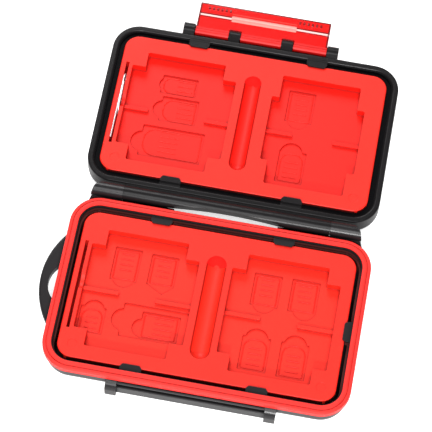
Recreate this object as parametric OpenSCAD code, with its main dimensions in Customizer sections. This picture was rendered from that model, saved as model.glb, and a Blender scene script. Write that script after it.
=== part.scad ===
// Hard case for memory cards, lying open. A base and a lid are hinged along
// the back, each holds a moulded card tray, and a hinged flap on the lid hooks
// under a rail on the base. Millimetres: X runs along the hinge, Y from the
// latch side of the base towards the lid, Z up. The base stands on z = 0.

/* [Trays] */
// Length of both card trays along the hinge
tray_length = 110.6; // [110:0.2:115]
// Width of both card trays across the hinge
tray_width = 63.9; // [63.5:0.1:68]
// Corner radius of the trays in plan
tray_corner = 6.1; // [5.8:0.1:8]
// Thickness of the tray top plate
plate_thickness = 1.6; // [1.2:0.1:2]
// Height of the tray edge, top face to seat
skirt_height = 3.05; // [2.6:0.05:3.6]
// Thickness of the walls round pockets and slots, below the plate
tray_wall = 1.5; // [1:0.1:1.6]
// Radius along the top edge of the trays
tray_edge_round = 0.6; // [0.3:0.1:1]
// Depth of the large card pockets
pocket_depth = 4; // [3.4:0.1:4.3]
// Material under the large pockets
pocket_bottom = 2.05; // [1.7:0.05:2.4]
// Depth of the small card recesses in the pocket floors
recess_depth = 0.65; // [0.3:0.05:0.7]
// Depth of the finger groove between the pockets
groove_depth = 3; // [2:0.1:3.4]
// Width of the eject pin slot in each tray
slot_width = 1.3; // [1.2:0.05:1.5]
// Height of the locating ribs above the pocket floor
rib_height = 1.15; // [0.6:0.05:1.8]
// Thickness of the locating ribs
rib_width = 1.5; // [1:0.1:2]

/* [Card pockets] */
// Tray edge left outside the pockets along the hinge
pocket_edge = 4.95; // [4.75:0.05:5.2]
// Half of the land between the two pocket groups
pocket_land = 6.65; // [6.5:0.05:7]
// Step in from the wide pockets to the upright ones, along the hinge
pocket_step = 5.5; // [5.3:0.1:5.7]
// Step in from the wide pockets to the smaller wide one in the lid
small_pocket_step = 2.4; // [2.2:0.1:2.6]
// Tray edge left at both ends of the upright pockets
pocket_end = 6.45; // [6.3:0.05:6.7]
// Offset of the pocket groups across the hinge
pocket_y = -0.6; // [-1:0.1:0]
// Width of the pockets for one wide card
wide_width = 37; // [36.6:0.1:37.4]
// Width of the smaller wide pocket in the lid
small_wide_width = 29.9; // [29.6:0.1:30.2]
// Plan radius of the pocket corners
pocket_corner = 0.8; // [0.4:0.1:1.2]

/* [Shells] */
// Height of the plane where base and lid meet, half the closed thickness
parting_height = 12.2; // [12.1:0.1:13.5]
// Drop from the parting plane to the top of each tray
tray_drop = 0.95; // [0.9:0.05:1.2]
// Floor thickness of both shells
floor_thickness = 1.8; // [1.4:0.1:2]
// Radius of the rounded outer bottom edge
bottom_round = 4.5; // [3.5:0.1:5]
// Radius between the floor and the wall inside
inner_round = 2; // [1:0.1:2.5]
// Outer face of the base wall, measured outwards from the tray edge
base_wall_out = 4.8; // [4.5:0.1:4.9]
// Outer face of the lid wall, measured outwards from the tray edge
lid_wall_out = 5; // [4.8:0.1:5.2]
// Inner face of the base wall, which is the far side of the black trench
trench_width = 1.9; // [1.7:0.05:2.1]
// Thickness of the upright lip that carries the seal
lip_thickness = 1.4; // [1:0.1:1.6]
// Height of the ledge below the seal
ledge_height = 9.6; // [9.4:0.1:9.9]
// Drop from the parting plane to the lid rim
rim_drop = 0.9; // [0.7:0.05:1.2]
// Width of the flat lid rim
rim_width = 2.5; // [2:0.1:2.8]
// Depth of the step inside the lid rim
rim_step = 1.6; // [1:0.1:2]
// Radius of the lid rim edges
rim_round = 0.7; // [0.3:0.1:0.9]
// Thickness of the upright ribs that carry the trays
seat_rib = 1.4; // [1:0.1:2]

/* [Seal] */
// Outer face of the seal, measured outwards from the tray edge
seal_out = 5.8; // [5.5:0.1:6]
// Width of the black lip that shows inside the seal
seal_setback = 0.4; // [0.2:0.05:0.6]
// Radius of the outer top edge of the seal
seal_round = 1.4; // [1:0.1:1.6]
// Width of the raised inner band of the seal
seal_band = 1.9; // [1.6:0.1:2.1]
// Height of the raised inner band over the outer part
seal_step = 0.2; // [0.1:0.05:0.3]
// Free height between the seal and the closed lid rim
seal_clearance = 0.05; // [0.03:0.01:0.15]

/* [Tray clips] */
// Distance of the front and back clips from the middle
clip_x = 24.9; // [20:0.1:27]
// Length of the clips
clip_length = 8.5; // [7:0.1:10]
// Height of the clips over the tray
clip_rise = 0.75; // [0.5:0.05:0.8]
// Reach of the clips over the tray edge
clip_reach = 1; // [0.6:0.1:1.3]
// Position of the clip on the right side of the base
side_clip_y = -1.3; // [-4:0.1:2]

/* [Hinge] */
// Distance of the hinge axis outside the seal
hinge_gap = 4.05; // [3.9:0.05:4.8]
// Radius of the hinge barrel
barrel_radius = 3; // [2.8:0.05:3.1]
// Radius of the two hinge pins
hinge_pin_radius = 1; // [0.8:0.05:1.2]
// Distance of the outer knuckle ends inside the tray edge
knuckle_inset = 0.4; // [0:0.1:2]
// Length of the base knuckles
base_knuckle_length = 12.5; // [11:0.1:14]
// Side clearance between the knuckles
knuckle_gap = 0.2; // [0.15:0.05:0.4]
// Plan radius on the outer corner of the base knuckles
knuckle_corner = 6; // [4.5:0.1:6.2]
// Length of the two hinge pins
pin_length = 20.9; // [18:0.1:21.5]
// Distance of each hinge pin from the knuckle end
pin_inset = 3.5; // [3.3:0.1:5]
// Half width of the arch cut along the lid knuckle
arch_half = 28.5; // [24:0.1:29]
// Depth of the arch cut at the middle, at the bottom of the barrel
arch_depth = 2.4; // [1.6:0.1:2.6]
// How much shallower the arch is at the top of the barrel
arch_draft = 1.2; // [0:0.1:1.4]
// Radial clearance of pins that turn in their holes
running_clearance = 0.05; // [0.03:0.01:0.08]

/* [Latch] */
// Distance of the latch pin outside the lid wall
latch_out = 3.3; // [3.2:0.05:3.6]
// Drop of the latch pin below the lid rim
latch_drop = 2.6; // [2.5:0.05:2.9]
// Radius of the latch pin
latch_pin_radius = 0.8; // [0.6:0.05:0.9]
// End radius of the outer latch ears
ear_radius = 3.1; // [2.8:0.05:3.2]
// End radius of the middle latch ears
mid_ear_radius = 2.6; // [2.4:0.05:2.8]
// Plan radius on the corners of the latch ears
ear_corner = 1; // [0.4:0.1:1.2]
// Inner face of the outer ears
ear_inner = 28.2; // [28.1:0.1:28.4]
// Thickness of the outer ears
ear_thickness = 4.7; // [4.2:0.1:5.4]
// Inner face of the middle ears
mid_ear_inner = 8.9; // [8.4:0.1:9.5]
// Thickness of the middle ears
mid_ear_thickness = 4.6; // [4:0.1:5.2]
// Side clearance between the ears and the flap
ear_gap = 0.3; // [0.2:0.05:0.5]
// Radius of the flap barrels
flap_barrel = 1.6; // [1.4:0.05:1.7]
// Thickness of the flap
flap_thickness = 1.55; // [1.3:0.05:1.6]
// Reach of the flap from its pin
flap_reach = 14.4; // [13.6:0.1:14.6]
// Height of the flap's inner face over its pin
flap_offset = 0.8; // [0.75:0.05:0.85]
// Distance from the latch pin to the hook face
hook_distance = 7.6; // [7.55:0.05:7.7]
// Height of the hook on the flap
hook_height = 1.45; // [1.2:0.05:1.5]
// Thickness of the hook
hook_thickness = 2; // [1.6:0.1:2]
// Half length of the hook
hook_half = 13.8; // [10:0.1:16]
// Height of the stiffening ridge beside the hook
ridge_height = 0.5; // [0.3:0.05:0.7]
// Width of the stiffening ridge beside the hook
ridge_width = 0.9; // [0.6:0.05:1.2]

/* [Catch and loop] */
// Front face of the catch rail, outwards from the tray edge
rail_out = 6.55; // [6.45:0.05:6.6]
// Back of the recess below the rail, outwards from the tray edge
recess_out = 5.25; // [5.15:0.05:5.3]
// Front face of the panel below the rail, outwards from the tray edge
panel_out = 7.05; // [6.8:0.05:7.1]
// Front face of the guard blocks, outwards from the tray edge
guard_out = 8.85; // [8.4:0.05:9]
// Inner face of the guard blocks
guard_inner = 29.3; // [28.8:0.1:30]
// Thickness of the guard blocks
guard_thickness = 4.4; // [3.5:0.1:5]
// Outer radius of the lanyard loop in plan
loop_radius = 33.6; // [32.5:0.1:34]
// Reach of the loop outside the base wall
loop_out = 7.9; // [7.5:0.1:8.2]
// Position of the loop along the side of the base
loop_y = 1.15; // [-2:0.05:3]
// Radius of the lanyard slot's curved side
loop_slot_radius = 10.5; // [9.5:0.1:11.5]
// Reach of the lanyard slot outside the base wall
loop_slot_out = 4.3; // [4.2:0.1:4.6]
// Thickness of the loop
loop_thickness = 3; // [2.4:0.1:3.4]
// Height of the loop's top face
loop_top = 9; // [8:0.1:9.2]

/* [Eject pin] */
// Wire diameter of the eject pin
wire_diameter = 0.8; // [0.7:0.05:1]
// Height of the wire loop
wire_loop_height = 6.4; // [5.6:0.1:6.5]
// Rise of the wire over the lid tray
wire_rise = 0.9; // [0.6:0.05:1]
// End of the wire loop away from the hinge
wire_loop_end = 14; // [12:0.1:16]
// Length of the wire loop
wire_loop_length = 18.9; // [16:0.1:20]
// Overall length of the eject pin
wire_length = 31.8; // [28:0.1:32]

/* [Hidden] */
$fn = 96;

black = [0.12, 0.12, 0.13];
red = [0.93, 0.2, 0.15];
clear_red = [0.85, 0.05, 0.08];
steel = [0.75, 0.76, 0.78];

seal_cap = 0.65;
tray_top = parting_height - tray_drop;
seat_height = tray_top - skirt_height;
pocket_floor = tray_top - pocket_depth;
block_bottom = pocket_floor - pocket_bottom;
rim_height = parting_height - rim_drop;
rim_ledge = rim_height - rim_step;
seal_top = parting_height + rim_drop - seal_clearance;
lip_top = seal_top - seal_cap;
half_length = tray_length / 2;
half_width = tray_width / 2;
hinge_reach = half_width + seal_out + hinge_gap;
base_knuckle_end = half_length - knuckle_inset;
lid_knuckle_end = base_knuckle_end - base_knuckle_length - knuckle_gap;
pin_outer_end = base_knuckle_end - pin_inset;
pin_inner_end = pin_outer_end - pin_length;
base_front = -half_width - base_wall_out;
lid_front = half_width + lid_wall_out;
lid_middle = 2 * hinge_reach;

core = 5;
core_overlap = 0.5;
weld = 0.8;
clip_clearance = 0.15;
clip_slope = 0.9;
clip_root = 0.2;
slot_x = 2.8 - half_length;
slot_bottom_margin = 0.05;
base_slot_depth = 7.6;
lid_slot_depth = wire_loop_height - wire_rise + slot_bottom_margin;
slot_floor = 1.2;
groove_floor = 1.3;
seat_rib_reach = 3;
seat_rib_margin = 0.4;
dip_radius = 4;
dip_rise = 2.2;
dip_length = 3;
dip_y = 1;
mark_radius = 2;
mark_depth = 0.15;
mark_x = half_length - 6;
mark_y = 5.95 - half_width;
seat_rib_x = [0.29 * half_length, 0.83 * half_length];
seat_rib_y = 0.72 * half_width;
corner_rib_x = half_length - 4.6;
corner_rib_drop = 2.2;
wide_length = half_length - pocket_edge - pocket_land;
small_wide_length = wide_length - 2 * small_pocket_step;
tall_length = tray_width - 2 * pocket_end;
tall_width = wide_length - 2 * pocket_step;
pocket_x = pocket_land + wide_length / 2;
wide_pocket = [wide_length, wide_width];
small_wide_pocket = [small_wide_length, small_wide_width];
base_groove = [0.2, 8.55 - half_width, half_width - 10.25, 8];
lid_groove = [0.3, 9.35 - half_width, half_width - 9.95, 7];
base_slot_ends = [12.25 - half_width, half_width - 13.25];
lid_slot_ends = [12.35 - half_width, half_width - 13.05];
plate_middle = tray_top - plate_thickness / 2;
recess_corner = 0.5;
base_right_recesses = [
    [-12.7, -1.5, 5.6, 20, -7.1, 7.25, 4.6],
    [2.5, 13.8, 5.6, 20.1, 9.1, 7.1, 4.6],
    [-13, -1.7, -22.3, -7.5, -7.4, -8.6, 4.6],
    [2.5, 13.7, -22.7, -7.5, 8.1, -8.6, 4.6]
];
base_left_recesses = [
    [-12.5, -1.6, 6, 20.7, -7, 7.8, 4.6],
    [-21.1, -10.9, -18.4, -6.8, -15.8, -8, 4.1],
    [-4.4, 21.5, -17.4, -2.8, -3.4, -10.2, 5]
];
base_nested_recesses = [
    [3.4, 18.7, -16.4, -4.9, 4.4, -12.1, 4.2]
];
lid_left_recesses = [
    [-8.6, 6.2, 9.7, 18.5, -6.1, 14.1, 3.6],
    [-7, 8.3, -3.4, 8.5, -5.8, 2.2, 4.4],
    [-12.4, 13.3, -20.6, -6.1, -11.4, -14, 5]
];
lid_right_recesses = [
    [-12.7, -1.5, 6.4, 21.3, -7.1, 8, 4.6],
    [-12.3, -1.1, -21.8, -6.9, -7.4, -7.8, 4.6]
];
pointed_recess = [2.4, 13.4, 6.5, 20.2];
pointed_end = [[2.9, 7.0], [2.9, 6.5], [9.2, 3.0], [12.9, 6.5], [12.9, 7.0]];
trench_ledge = 0.6;
trench_ledge_height = 8.7;
web_bottom = 2.6;
web_top = ledge_height - 0.1;
web_foot = 5;
arch_facets = 360;
web_overlap = 0.6;
panel_depth = 3.5;
panel_chamfer = 0.6;
rail_height = 1;
rail_chamfer = 0.4;
hook_room = 2.3;
foot_gap = 0.3;
loop_slot_shift = 1.7;
press_margin = 0.02;
tangent_share = 0.98;

latch_y = lid_front + latch_out;
latch_z = rim_height - latch_drop;
flap_half = ear_inner - ear_gap;
flap_slot_inner = mid_ear_inner - ear_gap;
flap_slot_outer = mid_ear_inner + mid_ear_thickness + ear_gap;
pin_end_wall = 0.4;

// Rounded rectangle between two corners.
module plan_box(x0, x1, y0, y1, corner) {
    translate([x0 + corner, y0])
        square([x1 - x0 - 2 * corner, y1 - y0]);
    translate([x0, y0 + corner])
        square([x1 - x0, y1 - y0 - 2 * corner]);
    for (x = [x0 + corner, x1 - corner], y = [y0 + corner, y1 - corner])
        translate([x, y])
            circle(r = corner);
}

// Carries a section round the tray outline. The section's x is the distance
// outwards from the tray edge and its y is the height.
module round_the_tray() {
    straight_x = tray_length - 2 * tray_corner;
    straight_y = tray_width - 2 * tray_corner;
    for (turn = [0 : 3]) {
        end_side = turn % 2 == 0;
        rotate([0, 0, 90 * turn])
            translate([end_side ? half_length : half_width, 0, 0])
                rotate([90, 0, 0])
                    linear_extrude(height = end_side ? straight_y : straight_x, center = true)
                        children();
        side_x = turn == 0 || turn == 3 ? 1 : -1;
        side_y = turn < 2 ? 1 : -1;
        translate([side_x * straight_x / 2, side_y * straight_y / 2, 0])
            rotate([0, 0, 90 * turn])
                rotate_extrude(angle = 90)
                    translate([tray_corner, 0])
                        children();
    }
}

// Fills the middle that a section carried round the tray leaves open.
module middle_slab(bottom, top) {
    reach = core - core_overlap;
    translate([reach - half_length, reach - half_width, bottom])
        cube([tray_length - 2 * reach, tray_width - 2 * reach, top - bottom]);
}

// Draws a section in the (Y, Z) plane and extrudes it between two X values.
module along_x(x0, x1) {
    translate([x0, 0, 0])
        rotate([90, 0, 90])
            linear_extrude(height = x1 - x0)
                union()
                    children();
}

// Repeats a child on the right and, mirrored, on the left.
module both_sides() {
    for (side = [0, 1])
        mirror([side, 0, 0])
            children();
}

// Wall section with a rounded bottom edge outside.
module wall_outside(reach, top) {
    translate([-core, 0])
        square([core + reach - bottom_round, top]);
    translate([reach - bottom_round, bottom_round]) {
        circle(r = bottom_round);
        square([bottom_round, top - bottom_round]);
    }
}

// Room inside a wall section, open at the top.
module wall_inside(reach, top) {
    translate([-core - 1, floor_thickness])
        square([core + 1 + reach - inner_round, top - floor_thickness]);
    translate([reach - inner_round, floor_thickness + inner_round]) {
        circle(r = inner_round);
        square([inner_round, top - floor_thickness - inner_round]);
    }
}

// Upright ribs on the floor, with the tray seat on top.
module seat_ribs() {
    rib_tall = seat_height - floor_thickness + weld;
    for (end = [0, 1], side = [0, 1], x = seat_rib_x)
        mirror([side, 0, 0])
            mirror([0, end, 0])
                translate([x - seat_rib / 2, half_width - seat_rib_reach, floor_thickness - weld])
                    cube([seat_rib, seat_rib_reach - seat_rib_margin, rib_tall]);
    for (end = [0, 1], y = [-seat_rib_y, seat_rib_y])
        mirror([end, 0, 0])
            translate([half_length - seat_rib_reach, y - seat_rib / 2, floor_thickness - weld])
                cube([seat_rib_reach - seat_rib_margin, seat_rib, rib_tall]);
}

// Plan of one tray clip. Its x is the distance outwards from the tray edge.
module clip_plan(outer) {
    polygon([
        [outer, -clip_length / 2],
        [clip_root, -clip_length / 2],
        [-clip_reach, -clip_length / 2 + clip_slope],
        [-clip_reach, clip_length / 2 - clip_slope],
        [clip_root, clip_length / 2],
        [outer, clip_length / 2]
    ]);
}

// One clip over the tray edge. It stands on the right side of the tray.
module clip(outer, over_tray_to, post_top) {
    translate([half_length, 0, 0]) {
        translate([0, 0, tray_top])
            linear_extrude(height = clip_rise)
                intersection() {
                    clip_plan(outer);
                    translate([-clip_reach - 1, -clip_length])
                        square([clip_reach + 1 + over_tray_to, 2 * clip_length]);
                }
        translate([clip_clearance, -clip_length / 2, seat_height])
            cube([outer - clip_clearance, clip_length, post_top - seat_height]);
    }
}

// Clips on the two long sides.
module long_side_clips(outer, over_tray_to, post_top) {
    for (turn = [90, 270], x = [-clip_x, clip_x])
        translate([x, 0, 0])
            rotate([0, 0, turn])
                translate([half_width - half_length, 0, 0])
                    clip(outer, over_tray_to, post_top);
}

function distance(a, b) = norm(b - a);

// Point where a line from p touches a circle; side is 1 or -1.
function tangent(p, centre, radius, side) =
    let (
        d = distance(p, centre),
        heading = atan2(centre[1] - p[1], centre[0] - p[0]),
        swing = side * asin(radius / d),
        reach = sqrt(d * d - radius * radius)
    )
    p + reach * [cos(heading + swing), sin(heading + swing)];

// Base mouldings.

module base_section() {
    difference() {
        union() {
            wall_outside(base_wall_out, ledge_height);
            translate([trench_width, ledge_height - weld])
                square([lip_thickness, lip_top - ledge_height + weld]);
        }
        difference() {
            wall_inside(trench_width, lip_top + 1);
            translate([trench_width - trench_ledge, 0])
                square([trench_ledge + 1, trench_ledge_height]);
        }
    }
}

// Two small ribs in the far corners of the trench, which centre the tray.
module corner_ribs() {
    for (side = [-1, 1])
        translate([side * corner_rib_x - seat_rib / 2, half_width + clip_clearance, seat_height])
            cube([
                seat_rib,
                trench_width + weld - clip_clearance,
                tray_top - corner_rib_drop - seat_height
            ]);
}

// Plan of a base knuckle: round at its outer end, with a web that runs down to
// the corner of the base.
module knuckle_plan(start) {
    middle = [
        base_knuckle_end - knuckle_corner,
        hinge_reach + barrel_radius - knuckle_corner
    ];
    foot = [half_length + base_wall_out, half_width - web_foot];
    touch = tangent(foot, middle, tangent_share * knuckle_corner, -1);
    translate(middle)
        circle(r = knuckle_corner);
    translate([start, half_width])
        square([middle[0] - start, hinge_reach + barrel_radius - half_width]);
    polygon([middle, touch, foot, [middle[0], foot[1]]]);
}

module base_knuckle() {
    start = lid_knuckle_end + knuckle_gap;
    wall = half_width + base_wall_out;
    corner = [half_length - tray_corner, half_width - tray_corner];
    difference() {
        intersection() {
            along_x(start, half_length + base_wall_out + 1) {
                translate([hinge_reach, parting_height])
                    circle(r = barrel_radius);
                polygon([
                    [wall - weld, web_top],
                    [wall + 1.15, web_top],
                    [hinge_reach - 0.83 * barrel_radius, parting_height - 1.6],
                    [hinge_reach, parting_height],
                    [hinge_reach + 0.8 * barrel_radius, parting_height - 0.6 * barrel_radius],
                    [hinge_reach + 1.2, parting_height - 4],
                    [wall - weld, web_bottom]
                ]);
            }
            linear_extrude(height = 2 * parting_height)
                knuckle_plan(start);
        }
        translate([start - 1, hinge_reach, parting_height])
            rotate([0, 90, 0])
                cylinder(r = hinge_pin_radius + press_margin, h = pin_outer_end - start + 1);
    }
    translate([0, 0, web_bottom])
        linear_extrude(height = web_top - web_bottom)
            difference() {
                intersection() {
                    knuckle_plan(start);
                    translate(corner)
                        square([2 * tray_corner + base_wall_out, wall + web_overlap - corner[1]]);
                }
                translate(corner)
                    circle(r = tray_corner + base_wall_out - weld);
            }
}

module catch_panel() {
    inside = base_front + panel_depth;
    rail = -half_width - rail_out;
    panel = -half_width - panel_out;
    back = -half_width - recess_out;
    rail_top = ledge_height - 0.4;
    rail_bottom = rail_top - rail_height;
    panel_top = rail_bottom - hook_room;
    along_x(-guard_inner - 0.5, guard_inner + 0.5)
        polygon([
            [inside, foot_gap],
            [panel + panel_chamfer, foot_gap],
            [panel, foot_gap + panel_chamfer],
            [panel, panel_top - panel_chamfer / 2],
            [panel + panel_chamfer / 2, panel_top],
            [back, panel_top],
            [back, rail_bottom],
            [rail, rail_bottom],
            [rail, rail_top - rail_chamfer],
            [rail + rail_chamfer, rail_top],
            [inside, rail_top]
        ]);
}

module guard_block() {
    top = ledge_height - 0.1;
    toe = 1.5;
    crown = 3.9;
    front = -half_width - guard_out;
    inside = base_front + panel_depth;
    along_x(guard_inner, guard_inner + guard_thickness) {
        translate([front + crown, top - crown])
            circle(r = crown);
        translate([front + crown, foot_gap])
            square([inside - front - crown, top - foot_gap]);
        translate([front, foot_gap + toe])
            square([crown, top - crown - foot_gap - toe]);
        translate([front + toe, foot_gap + toe])
            circle(r = toe);
        translate([front + toe, foot_gap])
            square([crown, crown]);
    }
}

module lanyard_loop() {
    wall = -half_length - base_wall_out;
    edge = loop_thickness / 3;
    difference() {
        translate([wall - loop_out + loop_radius, loop_y, loop_top - loop_thickness])
            rotate_extrude() {
                square([loop_radius - edge, loop_thickness]);
                translate([0, edge])
                    square([loop_radius, loop_thickness - 2 * edge]);
                for (z = [edge, loop_thickness - edge])
                    translate([loop_radius - edge, z])
                        circle(r = edge);
            }
        translate([wall + weld, -2 * loop_radius, 0])
            cube([3 * loop_radius, 4 * loop_radius, 2 * parting_height]);
        difference() {
            translate([wall - loop_slot_out + loop_slot_radius, loop_y - loop_slot_shift, 0])
                cylinder(r = loop_slot_radius, h = 2 * parting_height);
            translate([wall, -2 * loop_radius, -1])
                cube([3 * loop_radius, 4 * loop_radius, 3 * parting_height]);
        }
    }
}

module base_shell() {
    color(black) {
        round_the_tray()
            base_section();
        middle_slab(0, floor_thickness);
        seat_ribs();
        corner_ribs();
        long_side_clips(trench_width + weld, trench_width + weld, tray_top + clip_rise);
        translate([0, side_clip_y, 0])
            clip(trench_width + weld, trench_width + weld, tray_top + clip_rise);
        both_sides() {
            base_knuckle();
            guard_block();
        }
        catch_panel();
        lanyard_loop();
    }
}

module base_seal() {
    inner = trench_width + seal_setback;
    lip_outer = trench_width + lip_thickness;
    shoulder = seal_top - seal_step;
    groove_z = ledge_height + 0.5;
    color(red)
        round_the_tray()
            difference() {
                union() {
                    translate([inner, lip_top])
                        square([seal_band, seal_top - lip_top]);
                    translate([lip_outer, ledge_height])
                        square([seal_out - seal_round - lip_outer, shoulder - ledge_height]);
                    translate([seal_out - seal_round, shoulder - seal_round])
                        intersection() {
                            circle(r = seal_round);
                            translate([-0.1, -0.1])
                                square(seal_round + 1);
                        }
                    translate([seal_out - seal_round - 0.1, ledge_height])
                        square([seal_round + 0.1, shoulder - seal_round - ledge_height]);
                }
                translate([seal_out - 0.2, groove_z])
                    square([1, 0.25]);
            }
}

// Card trays.

module tray_blank(slot_ends, slot_depth, groove) {
    slot_long = slot_ends[1] - slot_ends[0];
    difference() {
        union() {
            round_the_tray() {
                translate([-core, tray_top - plate_thickness])
                    square([core - tray_edge_round, plate_thickness]);
                translate([-tray_wall, seat_height])
                    square([tray_wall, skirt_height - tray_edge_round]);
                translate([-tray_edge_round, tray_top - tray_edge_round])
                    circle(r = tray_edge_round);
            }
            middle_slab(tray_top - plate_thickness, tray_top);
            translate([
                slot_x - slot_width / 2 - 1,
                slot_ends[0] - tray_wall,
                tray_top - slot_depth - slot_floor
            ])
                cube([slot_width + 2, slot_long + 2 * tray_wall, slot_depth + slot_floor - 0.5]);
            translate([
                groove[0] - groove[3] / 2 - 1,
                groove[1] - 1,
                tray_top - groove_depth - groove_floor
            ])
                cube([groove[3] + 2, groove[2] - groove[1] + 2, groove_depth + groove_floor - 0.3]);
            children(0);
        }
        finger_groove(groove);
        translate([slot_x - slot_width / 2, slot_ends[0], tray_top - slot_depth])
            cube([slot_width, slot_long, slot_depth + 1]);
        translate([slot_x, dip_y, tray_top + dip_rise])
            rotate([0, 90, 0])
                cylinder(r = dip_radius, h = dip_length);
        for (x = [-mark_x, mark_x])
            translate([x, mark_y, tray_top - mark_depth])
                cylinder(r = mark_radius, h = 1);
        children(1);
    }
}

// Groove with a rounded bottom: middle x, start y, end y and width.
module finger_groove(groove) {
    half = groove[3] / 2;
    radius = (half * half + groove_depth * groove_depth) / (2 * groove_depth);
    translate([groove[0], 0, tray_top + radius - groove_depth]) {
        translate([0, groove[1] + half, 0])
            rotate([-90, 0, 0])
                cylinder(r = radius, h = groove[2] - groove[1] - 2 * half);
        for (y = [groove[1] + half, groove[2] - half])
            translate([0, y, 0])
                sphere(r = radius);
    }
}

// Two crossed pockets, grown by a margin, from a height upwards.
module pocket_pair(side, wide, margin, bottom, top) {
    round = margin + pocket_corner;
    x = side * pocket_x;
    translate([0, 0, bottom]) {
        linear_extrude(height = top - bottom)
            plan_box(
                x - tall_width / 2 - margin, x + tall_width / 2 + margin,
                pocket_y - tall_length / 2 - margin, pocket_y + tall_length / 2 + margin,
                round
            );
        linear_extrude(height = top - bottom)
            plan_box(
                x - wide[0] / 2 - margin, x + wide[0] / 2 + margin,
                pocket_y - wide[1] / 2 - margin, pocket_y + wide[1] / 2 + margin,
                round
            );
    }
}

// Locating ribs that stand in from the ends of the wide pocket.
module pocket_ribs(side, wide, left_y, right_y, reach) {
    for (end = [[-1, left_y], [1, right_y]])
        translate([
            side * pocket_x + (end[0] < 0 ? -wide[0] / 2 - weld : wide[0] / 2 + weld - reach - weld),
            pocket_y + end[1] - rib_width / 2,
            pocket_floor - weld
        ])
            cube([reach + weld, rib_width, rib_height + weld]);
}

// Sinks a plan shape into the pocket floor, once or, for a nested one, twice.
module sink(steps = 1) {
    depth = steps * recess_depth;
    translate([0, 0, pocket_floor - depth])
        linear_extrude(height = depth + pocket_depth + 1)
            children();
}

// Plan of card recesses on one side of a tray, each with a round thumb scoop.
// A recess is its left, right, near and far edge, then the middle and the
// radius of its scoop, all from the middle of the pocket group.
module card_recesses(side, recesses) {
    translate([side * pocket_x, pocket_y])
        for (recess = recesses) {
            plan_box(recess[0], recess[1], recess[2], recess[3], recess_corner);
            translate([recess[4], recess[5]])
                circle(r = recess[6]);
        }
}

module base_tray() {
    color(red) {
        tray_blank(base_slot_ends, base_slot_depth, base_groove) {
            for (side = [-1, 1])
                pocket_pair(side, wide_pocket, tray_wall, block_bottom, plate_middle);
            union() {
                for (side = [-1, 1])
                    pocket_pair(side, wide_pocket, 0, pocket_floor, tray_top + 1);
                sink() {
                    card_recesses(1, base_right_recesses);
                    card_recesses(-1, base_left_recesses);
                    translate([-pocket_x, pocket_y]) {
                        plan_box(
                            pointed_recess[0], pointed_recess[1],
                            pointed_recess[2], pointed_recess[3],
                            recess_corner
                        );
                        polygon(pointed_end);
                    }
                }
                sink(2)
                    card_recesses(-1, base_nested_recesses);
            }
        }
        for (side = [-1, 1])
            pocket_ribs(side, wide_pocket, 0, -0.5, 14.4);
    }
}

module lid_tray() {
    color(red)
        translate([0, lid_middle, 0]) {
            tray_blank(lid_slot_ends, lid_slot_depth, lid_groove) {
                union() {
                    pocket_pair(-1, wide_pocket, tray_wall, block_bottom, plate_middle);
                    pocket_pair(1, small_wide_pocket, tray_wall, block_bottom, plate_middle);
                }
                union() {
                    pocket_pair(-1, wide_pocket, 0, pocket_floor, tray_top + 1);
                    pocket_pair(1, small_wide_pocket, 0, pocket_floor, tray_top + 1);
                    sink() {
                        card_recesses(-1, lid_left_recesses);
                        card_recesses(1, lid_right_recesses);
                    }
                }
            }
            pocket_ribs(-1, wide_pocket, 0, -0.5, 10);
            pocket_ribs(1, small_wide_pocket, 0, -0.5, 11);
        }
}

// Lid mouldings.

module lid_section() {
    ledge_thickness = rim_ledge - seat_height;
    wall_reach = lid_wall_out - rim_width - 0.3;
    difference() {
        union() {
            difference() {
                wall_outside(lid_wall_out, rim_height - rim_round);
                wall_inside(wall_reach, parting_height + 1);
            }
            translate([0.15, seat_height])
                square([wall_reach + weld, ledge_thickness]);
            translate([lid_wall_out - rim_width + rim_round, rim_height - 2 * rim_round])
                square([rim_width - 2 * rim_round, 2 * rim_round]);
            for (u = [lid_wall_out - rim_round, lid_wall_out - rim_width + rim_round])
                translate([u, rim_height - rim_round])
                    circle(r = rim_round);
        }
        translate([wall_reach - 1, rim_ledge])
            square([lid_wall_out - rim_width - wall_reach + 1, 0.3]);
    }
}

module lid_knuckle() {
    wall = hinge_reach - half_width - lid_wall_out;
    hinge_y = -hinge_reach;
    arch_radius = (arch_half * arch_half + arch_depth * arch_depth) / (2 * arch_depth);
    barrel_bottom = parting_height - barrel_radius;
    difference() {
        along_x(-lid_knuckle_end, lid_knuckle_end) {
            translate([hinge_y, parting_height])
                circle(r = barrel_radius);
            polygon([
                [hinge_y, parting_height],
                [hinge_y + 0.85 * barrel_radius, parting_height - 1.3],
                [hinge_y + wall + weld, parting_height - 1.3],
                [hinge_y + wall + weld, 5],
                [hinge_y + 0.25 * barrel_radius, parting_height - 0.93 * barrel_radius]
            ]);
        }
        translate([0, hinge_y - barrel_radius + arch_depth - arch_radius, barrel_bottom])
            cylinder(
                r1 = arch_radius,
                r2 = arch_radius - arch_draft,
                h = 2 * barrel_radius,
                $fn = arch_facets
            );
        translate([0, hinge_y - barrel_radius + arch_depth - arch_radius, 0])
            cylinder(r = arch_radius, h = barrel_bottom + 0.01, $fn = arch_facets);
        both_sides()
            translate([pin_inner_end - 0.2, hinge_y, parting_height])
                rotate([0, 90, 0])
                    cylinder(r = hinge_pin_radius + running_clearance, h = lid_knuckle_end);
    }
}

module latch_ear(x0, x1, radius) {
    centre = [latch_y, latch_z];
    upper = [lid_front - weld, rim_height - rim_round - 0.1];
    lower = [lid_front - weld, 2.4];
    upper_touch = tangent(upper, centre, tangent_share * radius, 1);
    lower_touch = tangent(lower, centre, tangent_share * radius, -1);
    intersection() {
        along_x(x0, x1) {
            translate(centre)
                circle(r = radius);
            polygon([upper, upper_touch, centre, lower_touch, lower]);
        }
        linear_extrude(height = 2 * parting_height)
            plan_box(x0, x1, lid_front - 3 * ear_corner, latch_y + radius, ear_corner);
    }
}

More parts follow.
